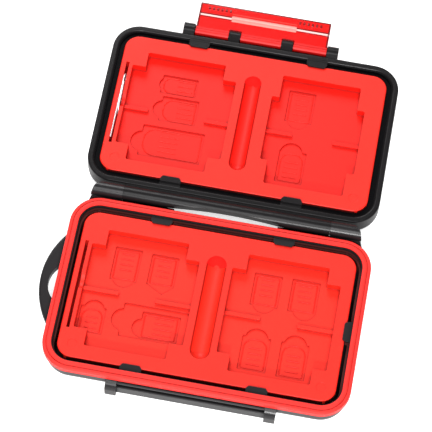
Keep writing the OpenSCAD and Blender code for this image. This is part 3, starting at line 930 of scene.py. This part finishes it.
# The near-black edge colour is painted shade along the flap's edges.
CLEAR_RED = ClearPlastic(
    name="clear_red_plastic",
    colour=(0.74, 0.006, 0.005, 1),
    thick_colour=(0.64, 0.004, 0.003, 1),
    edge_shading_colour=(0.10, 0.001, 0.002, 1),
    barrel_below=126.0 * MM,
    # The first, second and fourth stripes are painted highlights on the hook bar and ridge; the
    # others are painted shade beside the ridge and along the far and side edges.
    light_bands=(
        PaintedLightBand(0, 13.8, 130.8, 133.6, (0.95, 0.40, 0.35, 1), 0.85),
        PaintedLightBand(13.8, 28, 131.5, 132.3, (0.95, 0.62, 0.58, 1), 0.9),
        PaintedLightBand(13.8, 28, 132.35, 133.3, (0.12, 0.002, 0.003, 1), 0.75),
        PaintedLightBand(0, 13.8, 134.3, 134.7, (0.9, 0.10, 0.08, 1), 0.6),
        PaintedLightBand(0, 28, 137.3, 138.4, (0.08, 0.001, 0.002, 1), 0.85),
        PaintedLightBand(27.1, 28, 126, 138.4, (0.08, 0.001, 0.002, 1), 0.8),
    ),
)
CLEAR_RED_GRIP = replace(
    CLEAR_RED,
    name="clear_red_grip",
    colour=(0.30, 0.001, 0.001, 1),
    thick_colour=(0.24, 0.001, 0.001, 1),
    clearness=0.0,
    light_bands=(),
)
# Painted shade on the trays' sides, outside the box and below its top.
TRAY_SIDE_SHADE = PaintedLightZone(55.1, 31.75, 3.7, 0.0, 0.0, 10.9, True, (0.05, 0.0015, 0.001, 1))
# A dark copy of the steel, painted shade, so the pins read dark in the knuckle gaps.
SHADED_STEEL_PIN = DrawnSteel(
    name="shaded_hinge_pin_steel",
    colour=(0.09, 0.09, 0.095, 1),
    dull_colour=(0.06, 0.06, 0.065, 1),
    roughness=0.5,
)
# A copy of the steel brighter than plain steel, a painted highlight so the thin wire reads white.
LIT_STEEL_WIRE = DrawnSteel(
    name="lit_eject_wire_steel",
    colour=(0.93, 0.92, 0.92, 1),
    dull_colour=(0.88, 0.87, 0.88, 1),
    roughness=0.42,
)


@dataclass(frozen=True)
class Root:
    """Moulded root of a barrel along a wall, sizes in millimetres."""

    name: str
    body: Body
    start: float
    end: float
    wall: float
    section: Sequence[tuple[float, float]]

    def build(self, finish: bpy.types.Material) -> None:
        """Sweeps the root along the wall.

        Args:
            finish: the shell's finish.
        """
        path = [Vector((x, self.wall, 0)) * MM for x in (self.end, self.start)]
        section = [(u * MM, z * MM) for u, z in self.section]
        dress(swept(self.name, path, section, False, finish), self.body)


@dataclass
class Shells:
    """The two black mouldings, whose CAD shapes stay in view, and the roots of their barrels."""

    hinge_section: Sequence[tuple[float, float]] = (
        (-0.1, 9.4), (1.4, 9.35), (2.6, 9.15), (3.35, 8.85), (3.35, 7.9), (1.6, 7.0), (-0.1, 5.6),
    )
    latch_section: Sequence[tuple[float, float]] = (
        (-0.1, 8.0), (1.2, 7.5), (2.0, 6.9), (2.7, 6.7),
        (5.4, 6.5), (5.4, 5.9), (2.4, 5.4), (-0.1, 4.0),
    )
    axis: tuple[float, float] = (5.05, 12.2)
    gap_shade_radius: float = 2.8
    gap_shade_steps: int = 36
    foot_section: Sequence[tuple[float, float]] = (
        (-0.1, 6.9), (2.4, 6.6), (7.2, 6.4), (7.8, 6.1), (7.6, 5.8), (2.4, 5.2), (-0.1, 3.8),
    )

    def gap_shade_disc(self) -> list[tuple[float, float]]:
        """Draws the round section of a black disc that closes a knuckle's gap, a dark piece
        standing in for the shade in that gap.

        Returns:
            The section's points, outwards from the wall and upwards.
        """
        turns = (math.radians(360 * n / self.gap_shade_steps) for n in range(self.gap_shade_steps))
        u, z = self.axis
        reach = self.gap_shade_radius
        return [(u + reach * math.cos(turn), z + reach * math.sin(turn)) for turn in turns]

    def roots(self) -> list[Root]:
        """Lists the roots beside the hinge's arch and under the latch's barrel and ears."""
        return [
            # The two discs in the knuckle gaps are dark pieces standing in for the shade there.
            Root("knuckle_gap_shade_disc_left", Body.BASE, -42.9, -42.23, 36.75, self.gap_shade_disc()),
            Root("knuckle_gap_shade_disc_right", Body.BASE, 42.23, 42.9, 36.75, self.gap_shade_disc()),
            Root("hinge_root_left", Body.BASE, -43.6, -21.2, 36.75, self.hinge_section),
            Root("hinge_root_right", Body.BASE, 21.2, 43.6, 36.75, self.hinge_section),
            Root("latch_root", Body.LID, -27.6, 27.6, 120.55, self.latch_section),
            Root("ear_foot_outer_left", Body.LID, -29.0, -27.4, 120.55, self.foot_section),
            Root("ear_foot_left", Body.LID, -14.0, -8.4, 120.55, self.foot_section),
            Root("ear_foot_right", Body.LID, 8.4, 14.0, 120.55, self.foot_section),
            Root("ear_foot_outer_right", Body.LID, 27.4, 29.0, 120.55, self.foot_section),
        ]

    def build(self) -> None:
        """Paints both shells and adds the roots."""
        finish = BLACK_SHELL.make()
        paint_node("base_shell", BASE_SHELL.make())
        paint_node("lid_shell", SHADED_LID_SHELL.make())
        for root in self.roots():
            root.build(finish)


@dataclass(frozen=True)
class CardDrawing:
    """Raised outline and lines on one recess floor, sizes in millimetres."""

    left: float
    right: float
    near: float
    far: float
    floor: float = 6.60
    rows: int = 5
    rows_share: float = 0.42
    rows_left: float = 0.45
    rows_near: float = 0.35
    arch: str = ""
    inset: float = 1.1
    corner: float = 0.7

    def outline(self) -> list[Vector]:
        """Walks round the drawing's frame.

        Returns:
            The frame's points, the arched end rounder than the rest.
        """
        low = (self.left + self.inset, self.near + self.inset)
        high = (self.right - self.inset, self.far - self.inset)
        wide = min(high[0] - low[0], high[1] - low[1]) * 0.42
        ends = {"far": (0, 1), "left": (1, 2), "near": (2, 3), "right": (3, 0)}.get(self.arch, ())
        spots = ((high[0], high[1]), (low[0], high[1]), (low[0], low[1]), (high[0], low[1]))
        signs = ((-1, -1), (1, -1), (1, 1), (-1, 1))
        points = []
        for turn, ((x, y), (sx, sy)) in enumerate(zip(spots, signs)):
            radius = wide if turn in ends else self.corner
            for step in range(7):
                angle = math.radians(90 * turn + 15 * step)
                across = x + sx * radius + radius * math.cos(angle)
                along = y + sy * radius + radius * math.sin(angle)
                points.append(Vector((across, along, self.floor)) * MM)
        return points

    def lines(self, gap: float = 2.3) -> list[list[Vector]]:
        """Lays the short lines inside the frame.

        Args:
            gap: distance between two lines, in millimetres.

        Returns:
            Two points for each line.
        """
        start = self.left + (self.right - self.left) * self.rows_left
        end = start + (self.right - self.left) * self.rows_share
        first = self.near + (self.far - self.near) * self.rows_near
        return [
            [Vector((x, first + row * gap, self.floor)) * MM for x in (start, end)]
            for row in range(self.rows)
        ]

    def moved(self, shift: float) -> "CardDrawing":
        """The same drawing further along Y.

        Args:
            shift: distance, in millimetres.
        """
        return replace(self, near=self.near + shift, far=self.far + shift)


@dataclass
class CardTrays:
    """The two red trays, with raised card drawings in their recesses."""

    lid_shift: float = 83.6
    line_width: float = 0.5 * MM
    line_height: float = 0.25 * MM
    base_groove: GrooveShade = GrooveShade(0.2, -23.4, 21.7, 8.0)
    lid_groove: GrooveShade = GrooveShade(0.3, 61.0, 105.6, 7.0)
    base_drawings: Sequence[CardDrawing] = (
        CardDrawing(15.8, 27.0, 5.0, 19.4, rows=4, rows_left=0.28, rows_share=0.46, rows_near=0.36),
        CardDrawing(31.0, 42.3, 5.0, 19.5, rows=4, rows_left=0.28, rows_share=0.46, rows_near=0.36),
        CardDrawing(
            15.5, 26.8, -22.9, -8.1, arch="far",
            rows=4, rows_left=0.28, rows_share=0.46, rows_near=0.2,
        ),
        CardDrawing(
            31.0, 42.2, -23.3, -8.1, arch="far",
            rows=4, rows_left=0.28, rows_share=0.46, rows_near=0.2,
        ),
        CardDrawing(
            -41.0, -30.1, 5.4, 20.1,
            rows=4, rows_left=0.28, rows_share=0.46, rows_near=0.36,
        ),
        CardDrawing(
            -26.1, -15.1, 5.9, 19.6,
            rows=4, rows_left=0.28, rows_share=0.46, rows_near=0.34,
        ),
        CardDrawing(
            -49.6, -39.4, -19.0, -7.4, arch="far",
            rows=3, rows_left=0.28, rows_share=0.46, rows_near=0.22,
        ),
        CardDrawing(
            -25.1, -9.8, -17.0, -5.5, floor=5.95,
            rows=4, rows_left=0.34, rows_share=0.48, rows_near=0.24,
        ),
    )
    lid_drawings: Sequence[CardDrawing] = (
        CardDrawing(-37.1, -22.3, 9.1, 17.9, arch="left", rows=3, rows_near=0.28, inset=0.9),
        CardDrawing(-35.5, -20.2, -4.0, 7.9, arch="left", rows=4, rows_near=0.26),
        CardDrawing(
            -40.9, -15.2, -21.2, -6.7, arch="left",
            rows=5, rows_left=0.3, rows_share=0.3, rows_near=0.24,
        ),
        CardDrawing(15.8, 27.0, 5.8, 20.7, rows=4, rows_near=0.3, rows_left=0.28, rows_share=0.46),
        CardDrawing(
            16.2, 27.4, -22.4, -7.5, arch="far",
            rows=4, rows_left=0.25, rows_share=0.5, rows_near=0.2,
        ),
    )

    def drawings(
        self,
        name: str,
        body: Body,
        cards: Sequence[CardDrawing],
        finish: bpy.types.Material,
    ) -> None:
        """Sweeps a low rounded ridge along the drawings of one tray.

        Args:
            name: the piece's name.
            body: the body that carries the tray.
            cards: the drawings.
            finish: the tray's finish.
        """
        frames = [card.outline() + card.outline()[:1] for card in cards]
        rows = [line for card in cards for line in card.lines()]
        piece = ridges(name, frames + rows, self.line_width, 2 * self.line_height, finish)
        dress(piece, body)

    def build(self) -> None:
        """Paints the trays and raises their drawings."""
        finish = RED_TRAY.make()
        # Each tray gets painted shade on its sides and in its groove; the deep colour is painted
        # shade and red reflected light, lighter on the base tray and darker on the lid tray.
        base = replace(
            RED_TRAY,
            name="red_base_tray",
            painted_light_zone=TRAY_SIDE_SHADE,
            groove=self.base_groove,
            deep_shade_colour=(0.70, 0.0175, 0.0070, 1),
        )
        paint_node("base_tray", base.make())
        # Painted shade on the lid tray's sides, the same box moved to the lid.
        lid_side_shade = replace(TRAY_SIDE_SHADE, middle_y=self.lid_shift)
        lid = replace(
            RED_TRAY,
            name="red_lid_tray",
            painted_light_zone=lid_side_shade,
            groove=self.lid_groove,
            deep_shade_colour=(0.70, 0.0080, 0.0032, 1),
        )
        paint_node("lid_tray", lid.make())
        self.drawings("base_card_drawings", Body.BASE, self.base_drawings, finish)
        lid_cards = [card.moved(self.lid_shift) for card in self.lid_drawings]
        self.drawings("lid_card_drawings", Body.LID, lid_cards, finish)


@dataclass
class SealRing:
    """The soft seal, one profile swept round the base tray, sizes in millimetres."""

    half_length: float = 55.3
    half_width: float = 31.95
    corner: float = 6.1
    corner_steps: int = 14
    soft_edge: float = 0.12
    profile: Sequence[tuple[float, float]] = (
        (2.30, 12.40),
        (2.30, 13.05),
        (4.10, 13.05),
        (4.10, 12.50),
        (4.45, 12.50),
        (4.45, 12.85),
        (5.80, 12.85),
        (5.80, 10.35),
        (5.60, 10.35),
        (5.60, 10.10),
        (5.80, 10.10),
        (5.80, 9.60),
        (3.30, 9.60),
        (3.30, 12.40),
    )
    shoulder: int = 6
    shoulder_radius: float = 1.3

    def path(self) -> list[Vector]:
        """Walks round the tray's edge, against the clock from above.

        Returns:
            The points of the closed path.
        """
        across = self.half_length - self.corner
        along = self.half_width - self.corner
        points = []
        for turn, (sx, sy) in enumerate(((1, 1), (-1, 1), (-1, -1), (1, -1))):
            for step in range(self.corner_steps + 1):
                angle = math.radians(90 * (turn + step / self.corner_steps))
                x = sx * across + self.corner * math.cos(angle)
                y = sy * along + self.corner * math.sin(angle)
                points.append(Vector((x, y, 0)) * MM)
        return points

    def section(self) -> list[tuple[float, float]]:
        """Rounds the profile's corners.

        Returns:
            The profile's points, outwards and upwards.
        """
        count = len(self.profile)
        points: list[tuple[float, float]] = []
        for n, here in enumerate(self.profile):
            before, after = self.profile[n - 1], self.profile[(n + 1) % count]
            radius = self.shoulder_radius if n == self.shoulder else self.soft_edge
            steps = 8 if n == self.shoulder else 2
            points.extend(fillet(before, here, after, radius, steps))
        return [(u * MM, z * MM) for u, z in points]

    def build(self) -> None:
        """Sweeps the seal and lets it stand for the CAD seal."""
        piece = swept("seal_ring", self.path(), self.section(), True, RED_SEAL.make())
        dress(piece, Body.BASE)
        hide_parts("base_seal")


@dataclass
class Latch:
    """The see-through flap with its grip dashes, and the steel pins."""

    dash_y: float = 135.7
    dash_z: float = 9.5
    dash_starts: Sequence[float] = (14.4, 16.2, 18.0, 19.8, 21.6, 23.4)
    dash_length: float = 0.9
    dash_width: float = 1.5 * MM
    dash_height: float = 0.3 * MM

    def grip(self, finish: bpy.types.Material) -> None:
        """Raises a row of short grip dashes near both far corners.

        Args:
            finish: the darker clear finish.
        """
        lines = [
            [
                Vector((side * x, self.dash_y, self.dash_z)) * MM
                for x in (start, start + self.dash_length)
            ]
            for side in (-1, 1)
            for start in self.dash_starts
        ]
        piece = ridges("latch_grip_dashes", lines, self.dash_width, self.dash_height, finish)
        dress(piece, Body.LATCH)

    def build(self) -> None:
        """Paints the flap and the pins and raises the grip dashes."""
        paint_node("latch_flap", CLEAR_RED.make())
        self.grip(CLEAR_RED_GRIP.make())
        steel = SHADED_STEEL_PIN.make()
        for node in ("latch_pin", "hinge_pin_left", "hinge_pin_right"):
            paint_node(node, steel)


@dataclass
class EjectPin:
    """The bent wire in the lid tray, one round sweep along its bends, sizes in millimetres."""

    wire: float = 0.6
    x: float = -52.5
    top: float = 11.75
    loop_height: float = 6.4
    tip_y: float = 65.8
    near_y: float = 78.7
    far_y: float = 97.6
    lean: float = 0.25
    bend_steps: int = 12

    def path(self) -> list[Vector]:
        """Follows the wire from its tip round the loop.

        Returns:
            The points of the wire's middle line.
        """
        bend = self.loop_height / 2 - self.wire / 2
        middle = self.top - bend
        near = self.near_y + self.wire / 2 + bend
        far = self.far_y - self.wire / 2 - bend
        points = [Vector((self.x - self.lean, self.tip_y + self.wire / 2, self.top))]
        points.append(Vector((self.x - self.lean, self.near_y, self.top)))
        for step in range(self.bend_steps + 1):
            angle = math.radians(90 - 180 * step / self.bend_steps)
            x = self.x - self.lean + 2 * self.lean * step / self.bend_steps
            y = far + bend * math.cos(angle)
            points.append(Vector((x, y, middle + bend * math.sin(angle))))
        for step in range(self.bend_steps + 1):
            angle = math.radians(270 - 180 * step / self.bend_steps)
            y = near + bend * math.cos(angle)
            points.append(Vector((self.x + self.lean, y, middle + bend * math.sin(angle))))
        points.append(Vector((self.x + self.lean * 0.4, far - bend * 0.6, self.top)))
        return [point * MM for point in points]

    def build(self) -> None:
        """Sweeps the wire and lets it stand for the CAD wire."""
        thick = self.wire * MM
        piece = ridges("eject_wire", [self.path()], thick, thick, LIT_STEEL_WIRE.make())
        dress(piece, Body.EJECT_PIN)
        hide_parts("eject_pin")


@dataclass(frozen=True)
class Lamp:
    """A square soft light that looks at the case, in metres and watts."""

    name: str
    place: Sequence[float]
    size: float
    watts: float


@dataclass
class Studio:
    """Floor, light and camera."""

    azimuth: float = -7.042
    elevation: float = 63.936
    roll: float = 3.532
    distance: float = 890.28 * MM
    focal_pixels: float = 2210.98
    image_pixels: float = 432
    sensor: float = 36
    aim: Vector = field(default_factory=lambda: Vector((-3.925, 39.015, 11.25)) * MM)
    floor_half: float = 3.0
    floor_drop: float = 0.1 * MM
    floor_glow: float = 0.6
    sky: float = 0.36
    lamps: Sequence[Lamp] = (
        Lamp("rear_softbox", (-0.35, 1.0, 0.85), 0.6, 12.0),
        Lamp("front_softbox", (0.06, -0.44, 1.05), 0.62, 11.0),
        Lamp("low_glint", (0.05, -0.92, 0.66), 0.11, 11.0),
    )

    def camera(self) -> None:
        """Places the camera at the photograph's viewing angle."""
        a, e, r = (math.radians(v) for v in (self.azimuth, self.elevation, self.roll))
        forward = Vector((math.sin(a) * math.cos(e), math.cos(a) * math.cos(e), -math.sin(e)))
        level = Vector((math.cos(a), -math.sin(a), 0))
        upright = level.cross(forward)
        right = math.cos(r) * level + math.sin(r) * upright
        up = -math.sin(r) * level + math.cos(r) * upright
        data = bpy.data.cameras.new("photo_camera")
        data.sensor_width = self.sensor
        data.lens = self.focal_pixels / self.image_pixels * self.sensor
        data.clip_start = 0.01
        data.clip_end = 20
        camera = bpy.data.objects.new("photo_camera", data)
        bpy.context.scene.collection.objects.link(camera)
        axes = Matrix((right, up, -forward)).transposed()
        camera.matrix_world = Matrix.Translation(self.aim - forward * self.distance) @ axes.to_4x4()
        bpy.context.scene.camera = camera

    def floor(self) -> None:
        """Lays the plain pale floor."""
        half = self.floor_half
        mesh = bpy.data.meshes.new("studio_floor")
        low = -self.floor_drop
        corners = [(-half, -half, low), (half, -half, low), (half, half, low), (-half, half, low)]
        mesh.from_pydata(corners, [], [(0, 1, 2, 3)])
        floor = bpy.data.objects.new("studio_floor", mesh)
        bpy.context.scene.collection.objects.link(floor)
        finish = Finish("pale_floor")
        finish.set(
            Base_Color=(0.8, 0.8, 0.8, 1),
            Roughness=0.9,
            Specular_IOR_Level=0.1,
            Emission_Color=(1, 1, 1, 1),
            Emission_Strength=self.floor_glow,
        )
        mesh.materials.append(finish.material)

    def hang(self, lamp: Lamp) -> None:
        """Hangs one soft light.

        Args:
            lamp: the light.
        """
        data = bpy.data.lights.new(lamp.name, "AREA")
        data.shape = "SQUARE"
        data.size = lamp.size
        data.energy = lamp.watts
        light = bpy.data.objects.new(lamp.name, data)
        light.location = lamp.place
        aim = self.aim - Vector(lamp.place)
        light.rotation_euler = aim.to_track_quat("-Z", "Y").to_euler()
        bpy.context.scene.collection.objects.link(light)

    def light(self) -> None:
        """Sets the sky and the soft lights."""
        world = bpy.data.worlds.new("studio_sky")
        world.use_nodes = True
        background = world.node_tree.nodes["Background"]
        background.inputs["Color"].default_value = (1, 1, 1, 1)
        background.inputs["Strength"].default_value = self.sky
        bpy.context.scene.world = world
        for lamp in self.lamps:
            self.hang(lamp)

    def build(self) -> None:
        """Sets up the whole studio."""
        bpy.context.scene.view_settings.view_transform = "Standard"
        self.camera()
        self.floor()
        self.light()


def main() -> None:
    """Builds the studio and every sub-assembly in order."""
    logging.basicConfig(level=logging.INFO, format="%(name)s: %(message)s")
    Studio().build()
    for part in (Shells(), CardTrays(), SealRing(), Latch(), EjectPin()):
        part.build()


if __name__ == "__main__":
    main()
